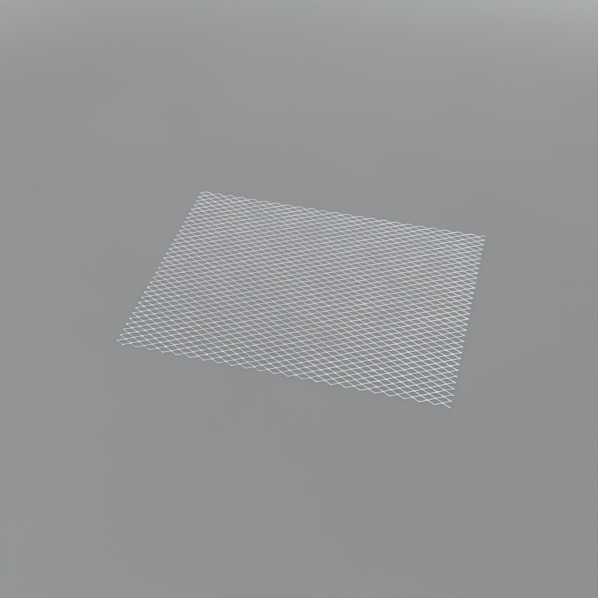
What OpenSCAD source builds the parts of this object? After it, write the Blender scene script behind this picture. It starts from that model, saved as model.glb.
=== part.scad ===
// Expanded metal sheet, raised diamond mesh, lying flat.
// A flat sheet is slit and stretched in one stroke of a toothed knife. Each stroke shears one strip
// of metal into a zigzag, and the next stroke does the same half a mesh further along. Every strip
// stays joined to the next one at its bonds, so the whole mesh is one piece of metal. Rollers then
// level the mesh: its strands keep a lean, and the sheet lies on their lower edges.

/* [Sheet] */
// Length of the sheet along the long way of the mesh, between the two sheared ends
sheet_length = 300; // [60:1:600]
// Room that the sheet's width has to fit in, across the rows of mesh
sheet_width = 240; // [40:1:480]
// Thickness of the flat sheet before it is expanded
sheet_thickness = 0.5; // [0.3:0.05:0.9]

/* [Mesh] */
// Long way of the mesh, from bond centre to bond centre
long_way = 12.7; // [8:0.1:25.4]
// Short way of the mesh, from bond centre to bond centre
short_way = 7.4; // [4:0.1:14]
// Width of one strand, which is the feed of one stroke of the knife
strand_width = 0.6; // [0.4:0.05:1.2]
// Angle of the bond faces to the plane of the levelled sheet
strand_lean = 47; // [20:1:65]
// Length of the flat that a bond has along the long way
bond_length = 1.4; // [0.4:0.1:2.4]
// Distance from the left sheared end to the first bond centres
first_bond = 0.3; // [0:0.1:4]

/* [Hidden] */
band_count = 4;

// Step from one strip to the next, half a short way along the sheet, split into its share across
// the strand faces and its share along their width, each to a hundredth of a millimetre
rise = round(100 * short_way / 2 * sin(strand_lean)) / 100;
feed = round(100 * short_way / 2 * cos(strand_lean)) / 100;
half_pitch = sqrt(rise * rise + feed * feed);
lean = atan2(rise, feed);
// What a strip moves along its width from its front bonds to its back bonds
creep = feed - strand_width;

strip_reach = half_pitch + sheet_thickness * sin(lean);
strip_count = floor((sheet_width - strip_reach) / half_pitch) + 1;
mesh_width = (strip_count - 1) * half_pitch + strip_reach;
mesh_height = 2 * strand_width * sin(lean) + sheet_thickness * cos(lean);

// How far a strip has come from a back bond, 0, to a front bond, 1, at a distance along the long way:
// level on the bonds and straight on the strands between them
function bond_distance(along) =
    let (turns = along / long_way)
    long_way * abs(turns - round(turns));
function strand_share(along) =
    let (strand_run = long_way / 2 - bond_length)
    min(max((bond_distance(along) - bond_length / 2) / strand_run, 0), 1);

// Places where the strip bends, which are both ends of every bond, and the two sheared ends
function bends(start) =
    let (
        first = ceil((start - bond_length) / (long_way / 2)),
        last = floor((start + sheet_length + bond_length) / (long_way / 2)),
        places = [for (bond = [first:last], side = [-1, 1]) bond * long_way / 2 + side * bond_length / 2]
    )
    [start, for (place = places) if (place > start && place < start + sheet_length) place, start + sheet_length];

// Outline of a strip from one side: a zigzag band of even depth that swings from bond to bond
function zigzag(start, swing, depth) =
    let (
        middle = [for (along = bends(start)) [along - start, swing * (0.5 - strand_share(along))]],
        count = len(middle)
    )
    [
        for (i = [0:count - 1]) middle[i] + [0, depth / 2],
        for (i = [count - 1:-1:0]) middle[i] - [0, depth / 2]
    ];

// One strip is a zigzag both ways: as thick as the sheet, and as wide as a strand
module strip(index) {
    start = -first_bond + (index % 2) * long_way / 2;
    room = 2 * short_way;
    translate([0, index * rise, index * feed])
        intersection() {
            linear_extrude(height = room, center = true)
                polygon(zigzag(start, rise, sheet_thickness));
            rotate([90, 0, 0])
                linear_extrude(height = room, center = true)
                    polygon(zigzag(start, creep, strand_width));
        }
}

// One band of strips, fused at their bonds, in the plane of the finished sheet
module mesh_band(number) {
    first = floor((number - 1) * strip_count / band_count);
    last = floor(number * strip_count / band_count) - 1;
    color([0.80, 0.81, 0.82])
        translate([-sheet_length / 2, strip_reach / 2 - mesh_width / 2, mesh_height / 2])
            rotate([lean - 90, 0, 0])
                for (index = [first:last]) strip(index);
}

mesh_band(1);  // mesh_band_1
mesh_band(2);  // mesh_band_2
mesh_band(3);  // mesh_band_3
mesh_band(4);  // mesh_band_4
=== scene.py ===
import bpy
import bmesh
import math
from mathutils import Matrix, Vector, noise


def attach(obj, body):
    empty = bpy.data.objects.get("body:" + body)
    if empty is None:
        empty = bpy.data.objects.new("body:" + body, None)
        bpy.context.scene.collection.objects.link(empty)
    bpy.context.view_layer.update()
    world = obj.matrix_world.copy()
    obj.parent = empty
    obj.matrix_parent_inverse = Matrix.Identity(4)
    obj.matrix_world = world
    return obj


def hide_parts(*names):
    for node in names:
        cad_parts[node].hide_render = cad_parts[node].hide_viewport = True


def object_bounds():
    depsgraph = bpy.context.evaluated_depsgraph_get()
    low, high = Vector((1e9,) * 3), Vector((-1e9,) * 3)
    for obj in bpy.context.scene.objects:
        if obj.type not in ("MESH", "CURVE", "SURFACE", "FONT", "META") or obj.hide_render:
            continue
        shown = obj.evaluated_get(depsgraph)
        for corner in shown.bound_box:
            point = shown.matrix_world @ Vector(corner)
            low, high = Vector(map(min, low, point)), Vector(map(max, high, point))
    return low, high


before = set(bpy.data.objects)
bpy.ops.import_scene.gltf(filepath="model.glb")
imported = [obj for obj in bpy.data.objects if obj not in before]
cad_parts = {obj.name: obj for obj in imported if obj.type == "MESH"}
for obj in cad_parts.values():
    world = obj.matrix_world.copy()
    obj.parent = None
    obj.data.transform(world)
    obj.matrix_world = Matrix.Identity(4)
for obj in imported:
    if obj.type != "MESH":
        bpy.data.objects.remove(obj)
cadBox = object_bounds()
scene = bpy.context.scene
mm = 0.001
print("frame loaded:", sorted(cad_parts))


def linear(hexColour):  # sRGB hex to the linear colour that the shaders take
    parts = [int(hexColour[i:i + 2], 16) / 255 for i in (1, 3, 5)]
    return [p / 12.92 if p <= 0.04045 else ((p + 0.055) / 1.055) ** 2.4 for p in parts] + [1.0]


# adds one node with its settings, and a value or a link for each input; _0 is the first input
def addNode(tree, kind, settings=None, **inputs):
    node = tree.nodes.new(kind)
    for key, value in (settings or {}).items():
        setattr(node, key, value)
    for key, value in inputs.items():
        socket = node.inputs[int(key[1:])] if key[1:].isdigit() else node.inputs[key.replace("_", " ")]
        if isinstance(value, bpy.types.NodeSocket):
            tree.links.new(value, socket)
        else:
            socket.default_value = value
    return node


# Mill-finish aluminium, as it leaves the rolling mill: a bright satin grey with cloudy patches and specks
# where the oxide is a little thicker, and fine rolling lines along the sheet that spread the highlights.
rolledFace = {"bright": "#ECEDEE", "dull": "#C4C6C9", "roughLow": 0.32, "roughHigh": 0.5,
              "cloudMm": 38.0, "speckMm": 1.6, "lineMm": 0.22, "lineLongMm": 6.0, "lineDepthMm": 0.008,
              "lineStrength": 0.5,
              "cloudShare": 0.45, "lineShare": 0.9,    # of the tone, where the specks have 1
              "dullBelow": 0.92, "brightAbove": 1.42}  # of the sum of the three


def aluminiumMillFinish():
    mat = bpy.data.materials.new("aluminium mill finish")
    mat.use_nodes = True
    tree = mat.node_tree
    shader = tree.nodes["Principled BSDF"]
    shader.inputs["Metallic"].default_value = 1.0
    place = addNode(tree, "ShaderNodeTexCoord").outputs["Object"]
    cloud = addNode(tree, "ShaderNodeTexNoise", Vector=place, Scale=1 / (rolledFace["cloudMm"] * mm),
                    Detail=3.0, Roughness=0.55).outputs["Fac"]
    speck = addNode(tree, "ShaderNodeTexNoise", Vector=place, Scale=1 / (rolledFace["speckMm"] * mm),
                    Detail=2.0, Roughness=0.6).outputs["Fac"]
    # rolling lines, drawn a few times coarser than real so that they show close up
    along = addNode(tree, "ShaderNodeMapping", Vector=place,
                    Scale=(1 / (rolledFace["lineLongMm"] * mm), 1 / (rolledFace["lineMm"] * mm),
                           1 / (rolledFace["lineMm"] * mm))).outputs["Vector"]
    lines = addNode(tree, "ShaderNodeTexNoise", Vector=along, Scale=1.0, Detail=2.0).outputs["Fac"]
    patches = addNode(tree, "ShaderNodeMath", {"operation": "MULTIPLY_ADD"}, _0=cloud,
                      _1=rolledFace["cloudShare"], _2=speck).outputs["Value"]
    worn = addNode(tree, "ShaderNodeMath", {"operation": "MULTIPLY_ADD"}, _0=lines,
                   _1=rolledFace["lineShare"], _2=patches).outputs["Value"]
    tone = addNode(tree, "ShaderNodeMapRange", Value=worn, From_Min=rolledFace["dullBelow"],
                   From_Max=rolledFace["brightAbove"]).outputs["Result"]
    colour = addNode(tree, "ShaderNodeMix", {"data_type": "RGBA"}, Factor=tone,
                     A=linear(rolledFace["dull"]), B=linear(rolledFace["bright"])).outputs["Result"]
    tree.links.new(colour, shader.inputs["Base Color"])
    rough = addNode(tree, "ShaderNodeMapRange", Value=tone, To_Min=rolledFace["roughHigh"],
                    To_Max=rolledFace["roughLow"]).outputs["Result"]
    tree.links.new(rough, shader.inputs["Roughness"])
    bump = addNode(tree, "ShaderNodeBump", Height=lines, Strength=rolledFace["lineStrength"],
                   Distance=rolledFace["lineDepthMm"] * mm).outputs["Normal"]
    tree.links.new(bump, shader.inputs["Normal"])
    return mat


# Sheared aluminium: the slit faces and the cut ends. The knife leaves a rubbed band and a torn band,
# so they look duller and greyer than the rolled faces, with short ridges along the stroke.
shearedFace = {"bright": "#D2D4D6", "torn": "#B2B4B7", "roughLow": 0.34, "roughHigh": 0.52,
               "ridgeMm": 0.3, "ridgeLongMm": 1.6, "ridgeDepthMm": 0.02, "ridgeStrength": 0.5,
               "tornBelow": 0.32, "brightAbove": 0.68}  # of the height of the ridges


def aluminiumSheared(turn):
    mat = bpy.data.materials.new("aluminium sheared")
    mat.use_nodes = True
    tree = mat.node_tree
    shader = tree.nodes["Principled BSDF"]
    shader.inputs["Metallic"].default_value = 1.0
    place = addNode(tree, "ShaderNodeTexCoord").outputs["Object"]
    stroke = addNode(tree, "ShaderNodeMapping", {"vector_type": "TEXTURE"}, Vector=place,
                     Rotation=(turn, 0, 0),
                     Scale=(shearedFace["ridgeMm"] * mm, shearedFace["ridgeLongMm"] * mm,
                            shearedFace["ridgeMm"] * mm)).outputs["Vector"]
    ridges = addNode(tree, "ShaderNodeTexNoise", Vector=stroke, Scale=1.0, Detail=3.0,
                     Roughness=0.6).outputs["Fac"]
    tone = addNode(tree, "ShaderNodeMapRange", Value=ridges, From_Min=shearedFace["tornBelow"],
                   From_Max=shearedFace["brightAbove"]).outputs["Result"]
    colour = addNode(tree, "ShaderNodeMix", {"data_type": "RGBA"}, Factor=tone,
                     A=linear(shearedFace["torn"]), B=linear(shearedFace["bright"])).outputs["Result"]
    tree.links.new(colour, shader.inputs["Base Color"])
    rough = addNode(tree, "ShaderNodeMapRange", Value=tone, To_Min=shearedFace["roughHigh"],
                    To_Max=shearedFace["roughLow"]).outputs["Result"]
    tree.links.new(rough, shader.inputs["Roughness"])
    bump = addNode(tree, "ShaderNodeBump", Height=ridges, Strength=shearedFace["ridgeStrength"],
                   Distance=shearedFace["ridgeDepthMm"] * mm).outputs["Normal"]
    tree.links.new(bump, shader.inputs["Normal"])
    return mat


# The expanded sheet, in millimetres, as in the part's source
sheet = {"length": 300.0, "thickness": 0.5, "longWay": 12.7, "rise": 2.71, "feed": 2.52, "strandWidth": 0.6,
         "bond": 1.4, "firstBond": 0.3, "strips": 64,
         "bendReach": 0.35,    # how far a bend spreads to each side of the end of a bond
         "rollOver": 0.1,      # rounding that the knife leaves on the edge where it comes in
         "waver": 0.03,        # how far the strands stray from their true line
         "waverMm": 5.0,       # over what length they stray
         "waverSeed": 5,       # the same waver in every run
         "sharpAngle": 62.0}   # degrees from which a corner is shaded sharp
hair = 0.001  # millimetres; points that are closer together than this are one
rolledSlot, shearedSlot = 0, 1


# one bond and half of each strand that leaves it; side -1 is the front strip, 1 the back one
def knuckle(sides):
    width, run = sheet["strandWidth"], sheet["longWay"] / 2 - sheet["bond"]
    creep = sheet["feed"] - width
    reach = sheet["bendReach"]
    bm = bmesh.new()
    flat = bmesh.ops.create_cube(bm, size=1.0)["verts"]
    bmesh.ops.scale(bm, verts=flat, vec=(sheet["bond"] - 2 * reach, sheet["thickness"], width * len(sides)))
    bmesh.ops.translate(bm, verts=flat, vec=(0, 0, width / 2 * sum(sides)))
    bmesh.ops.bisect_plane(bm, geom=bm.verts[:] + bm.edges[:] + bm.faces[:], plane_no=(0, 0, 1))
    ends = [f for f in bm.faces if abs(f.normal.x) > 0.9]
    bendShare = reach / run
    for stepX, share in ((2 * reach, bendShare), (run / 2 - reach, 0.5 - bendShare)):
        ends = bmesh.ops.extrude_discrete_faces(bm, faces=ends)["faces"]
        for end in ends:
            way = math.copysign(1, end.normal.x)
            lift = math.copysign(share, end.calc_center_median().z)
            bmesh.ops.translate(bm, verts=end.verts, vec=(way * stepX, lift * sheet["rise"], lift * creep))
    bmesh.ops.delete(bm, geom=ends, context="FACES_ONLY")
    bm.normal_update()
    drawnIn = []
    for edge in bm.edges:
        if len(edge.link_faces) == 2:
            lean = edge.link_faces[0].normal + edge.link_faces[1].normal
            if lean.y < -0.5 and lean.z < -0.5:  # the edge where the knife came in
                drawnIn.append(edge)
    for face in bm.faces:
        face.material_index = shearedSlot if abs(face.normal.z) > abs(face.normal.y) else rolledSlot
    bmesh.ops.bevel(bm, geom=drawnIn, offset=sheet["rollOver"], offset_type="OFFSET", segments=1,
                    profile=0.5, affect="EDGES", material=-1, clamp_overlap=True)
    return bm


def repeat(bm, step, times):  # copies of everything in a row
    if times:
        bmesh.ops.spin(bm, geom=bm.verts[:] + bm.edges[:] + bm.faces[:], cent=(0, 0, 0), axis=(1, 0, 0),
                       dvec=step, angle=0.0, steps=times, use_duplicate=True)


def makeSheet():
    width, rise, feed = sheet["strandWidth"], sheet["rise"], sheet["feed"]
    creep = feed - width
    halfPitch, lean = math.hypot(rise, feed), math.atan2(rise, feed)
    strips, longWay = sheet["strips"], sheet["longWay"]
    stripReach = halfPitch + sheet["thickness"] * math.sin(lean)
    meshWidth = (strips - 1) * halfPitch + stripReach
    meshHeight = 2 * width * math.sin(lean) + sheet["thickness"] * math.cos(lean)
    columns = round(sheet["length"] / longWay)
    half = longWay / 2
    # every kind of row: its strips, first bond, strip below it, rows that follow it
    rows = [((-1, 1), 0.0, 0, strips // 2 - 1), ((-1, 1), half, 1, strips // 2 - 2),
            ((1,), half, -1, 0), ((-1,), half, strips - 1, 0)]
    whole = bmesh.new()
    for sides, shift, strip, more in rows:
        row = knuckle(sides)
        bmesh.ops.translate(row, verts=row.verts, vec=(sheet["firstBond"] + shift, (strip + 0.5) * rise,
                                                       strip * feed + creep / 2 + width / 2))
        repeat(row, (longWay, 0, 0), columns - 1)
        repeat(row, (0, 2 * rise, 2 * feed), more)
        part = bpy.data.meshes.new("row")
        row.to_mesh(part)
        row.free()
        whole.from_mesh(part)
        bpy.data.meshes.remove(part)
    print("bonds laid out:", columns * (strips + 1), "faces", len(whole.faces))
    bmesh.ops.remove_doubles(whole, verts=whole.verts, dist=hair)
    for at, out in ((0.0, -1), (sheet["length"], 1)):  # the two sheared ends
        bmesh.ops.bisect_plane(whole, geom=whole.verts[:] + whole.edges[:] + whole.faces[:], dist=hair / 100,
                               plane_co=(at, 0, 0), plane_no=(out, 0, 0), clear_outer=True)
        rim = [e for e in whole.edges if e.is_boundary and all(abs(v.co.x - at) < hair for v in e.verts)]
        for cap in bmesh.ops.holes_fill(whole, edges=rim, sides=0)["faces"]:
            cap.material_index = shearedSlot
    print("open edges left:", sum(e.is_boundary for e in whole.edges))
    turn = lean - math.pi / 2
    bmesh.ops.rotate(whole, verts=whole.verts, cent=(0, 0, 0), matrix=Matrix.Rotation(turn, 3, "X"))
    bmesh.ops.translate(whole, verts=whole.verts, vec=(-sheet["length"] / 2, stripReach / 2 - meshWidth / 2,
                                                       meshHeight / 2))
    low, high = (corner / mm for corner in cadBox)
    noise.seed_set(sheet["waverSeed"])
    for vert in whole.verts:  # no strand is quite straight, but none leaves the sheet's own box
        atEnd = abs(vert.co.x) > sheet["length"] / 2 - hair
        stray = noise.noise_vector(vert.co / sheet["waverMm"]) * sheet["waver"]
        if atEnd:
            stray.x = 0
        vert.co = [min(max(c, a), b) for c, a, b in zip(vert.co + stray, low, high)]
    bmesh.ops.scale(whole, verts=whole.verts, vec=(mm, mm, mm))
    whole.normal_update()
    for edge in whole.edges:  # corners that the knife left sharp stay sharp
        edge.smooth = edge.is_manifold and edge.calc_face_angle(0.0) < math.radians(sheet["sharpAngle"])
    for face in whole.faces:
        face.smooth = True
    data = bpy.data.meshes.new("expanded_sheet")
    whole.to_mesh(data)
    whole.free()
    data.materials.append(aluminiumMillFinish())
    data.materials.append(aluminiumSheared(turn))
    piece = bpy.data.objects.new("expanded_sheet", data)
    scene.collection.objects.link(piece)
    # broad faces keep flat shading beside the small bends
    flats = piece.modifiers.new("flats", "WEIGHTED_NORMAL")
    flats.keep_sharp = True
    return piece


expandedSheet = makeSheet()
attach(expandedSheet, "root")
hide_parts("mesh_band_1", "mesh_band_2", "mesh_band_3", "mesh_band_4")
print("expanded sheet:", len(expandedSheet.data.polygons), "faces")

# The pale room behind everything, and the weaker fill that the room gives to matt surfaces
room = {"colour": "#E2E3E4", "fillLevel": 0.24}


# 1 where the camera or a shiny surface looks, 0 for light that falls on matt surfaces
def raysThatLook(tree):
    rays = addNode(tree, "ShaderNodeLightPath").outputs
    mirrored = addNode(tree, "ShaderNodeMath", {"operation": "MAXIMUM"}, _0=rays["Is Glossy Ray"],
                       _1=rays["Is Transmission Ray"]).outputs["Value"]
    return addNode(tree, "ShaderNodeMath", {"operation": "MAXIMUM"}, _0=rays["Is Camera Ray"],
                   _1=mirrored).outputs["Value"]


# Matt painted board under the sheet: pale grey, a little uneven, hardly any shine. Further out it fades
# into the room, from and to these distances in metres.
board = {"colour": "#B4B6B8", "shade": "#AEB0B2", "rough": 0.9, "shine": 0.1, "mottleMm": 120.0,
         "wide": 12.0, "belowMm": 0.02, "fadeFrom": 0.45, "fadeTo": 1.5}


def mattBoard():
    mat = bpy.data.materials.new("matt painted board")
    mat.use_nodes = True
    tree = mat.node_tree
    shader = tree.nodes["Principled BSDF"]
    shader.inputs["Roughness"].default_value = board["rough"]
    shader.inputs["Specular IOR Level"].default_value = board["shine"]
    place = addNode(tree, "ShaderNodeTexCoord").outputs["Object"]
    mottle = addNode(tree, "ShaderNodeTexNoise", Vector=place, Scale=1 / (board["mottleMm"] * mm),
                     Detail=2.0).outputs["Fac"]
    colour = addNode(tree, "ShaderNodeMix", {"data_type": "RGBA"}, Factor=mottle,
                     A=linear(board["shade"]), B=linear(board["colour"])).outputs["Result"]
    tree.links.new(colour, shader.inputs["Base Color"])
    away = addNode(tree, "ShaderNodeVectorMath", {"operation": "LENGTH"}, _0=place).outputs["Value"]
    fade = addNode(tree, "ShaderNodeMapRange", {"interpolation_type": "SMOOTHSTEP"}, Value=away,
                   From_Min=board["fadeFrom"], From_Max=board["fadeTo"]).outputs["Result"]
    share = addNode(tree, "ShaderNodeMath", {"operation": "MULTIPLY"}, _0=fade,
                    _1=raysThatLook(tree)).outputs["Value"]
    far = addNode(tree, "ShaderNodeEmission", Color=linear(room["colour"]),
                  Strength=1.0).outputs["Emission"]
    both = addNode(tree, "ShaderNodeMixShader", _0=share, _1=shader.outputs["BSDF"],
                   _2=far).outputs["Shader"]
    tree.links.new(both, tree.nodes["Material Output"].inputs["Surface"])
    return mat


def makeFloor():
    bm = bmesh.new()
    bmesh.ops.create_grid(bm, x_segments=1, y_segments=1, size=board["wide"] / 2)
    bmesh.ops.translate(bm, verts=bm.verts, vec=(0, 0, -board["belowMm"] * mm))
    data = bpy.data.meshes.new("floor")
    bm.to_mesh(data)
    bm.free()
    data.materials.append(mattBoard())
    floor = bpy.data.objects.new("floor", data)
    scene.collection.objects.link(floor)


makeFloor()
print("floor laid")

# Softboxes stand round the sheet, in metres and degrees; bearing 0 is the right side, 90 the back.
# Level is watts per square metre of the box.
softboxes = {"frontLeftBox": {"bearing": 230, "height": 28, "wide": 1.0, "tall": 0.95, "level": 4.2},
             "rightBox": {"bearing": 345, "height": 21, "wide": 1.1, "tall": 0.6, "level": 4.6},
             "leftBox": {"bearing": 182, "height": 13, "wide": 0.7, "tall": 0.4, "level": 5.0},
             "lowFrontBox": {"bearing": 275, "height": 12, "wide": 0.7, "tall": 0.38, "level": 6.6},
             "lowBackBox": {"bearing": 88, "height": 11, "wide": 0.9, "tall": 0.38, "level": 7.2},
             "highBackBox": {"bearing": 95, "height": 55, "wide": 1.1, "tall": 0.7, "level": 5.2}}
boxDistance = 1.2


def makeLights():
    for name, box in softboxes.items():
        bearing, height = math.radians(box["bearing"]), math.radians(box["height"])
        across = math.cos(height)
        toBox = Vector((across * math.cos(bearing), across * math.sin(bearing), math.sin(height)))
        lamp = bpy.data.lights.new(name, "AREA")
        lamp.shape = "RECTANGLE"
        lamp.size, lamp.size_y = box["wide"], box["tall"]
        lamp.energy = box["level"] * box["wide"] * box["tall"]
        stand = bpy.data.objects.new(name, lamp)
        stand.location = toBox * boxDistance
        stand.rotation_euler = toBox.to_track_quat("Z", "Y").to_euler()
        scene.collection.objects.link(stand)
    world = bpy.data.worlds.new("studio")
    world.use_nodes = True
    tree = world.node_tree
    fill = tree.nodes["Background"]
    fill.inputs["Color"].default_value = linear(room["colour"])
    fill.inputs["Strength"].default_value = room["fillLevel"]
    far = addNode(tree, "ShaderNodeBackground", Color=linear(room["colour"]),
                  Strength=1.0).outputs["Background"]
    both = addNode(tree, "ShaderNodeMixShader", _0=raysThatLook(tree), _1=fill.outputs["Background"],
                   _2=far).outputs["Shader"]
    tree.links.new(both, tree.nodes["World Output"].inputs["Surface"])
    scene.world = world


makeLights()
print("lights set:", ", ".join(softboxes))

# The camera stands where the photograph was taken from; places in metres, lens and sensor in millimetres
viewpoint = {"from": (0.16921, -0.68828, 0.62908), "aim": (-0.00703, -0.02025, 0.00073),
             "lens": 60.2, "sensor": 36.0}


def makeCamera():
    data = bpy.data.cameras.new("camera")
    data.lens, data.sensor_width = viewpoint["lens"], viewpoint["sensor"]
    camera = bpy.data.objects.new("camera", data)
    camera.location = viewpoint["from"]
    sight = Vector(viewpoint["aim"]) - camera.location
    camera.rotation_euler = sight.to_track_quat("-Z", "Y").to_euler()
    scene.collection.objects.link(camera)
    scene.camera = camera


makeCamera()
scene.view_settings.view_transform = "Standard"
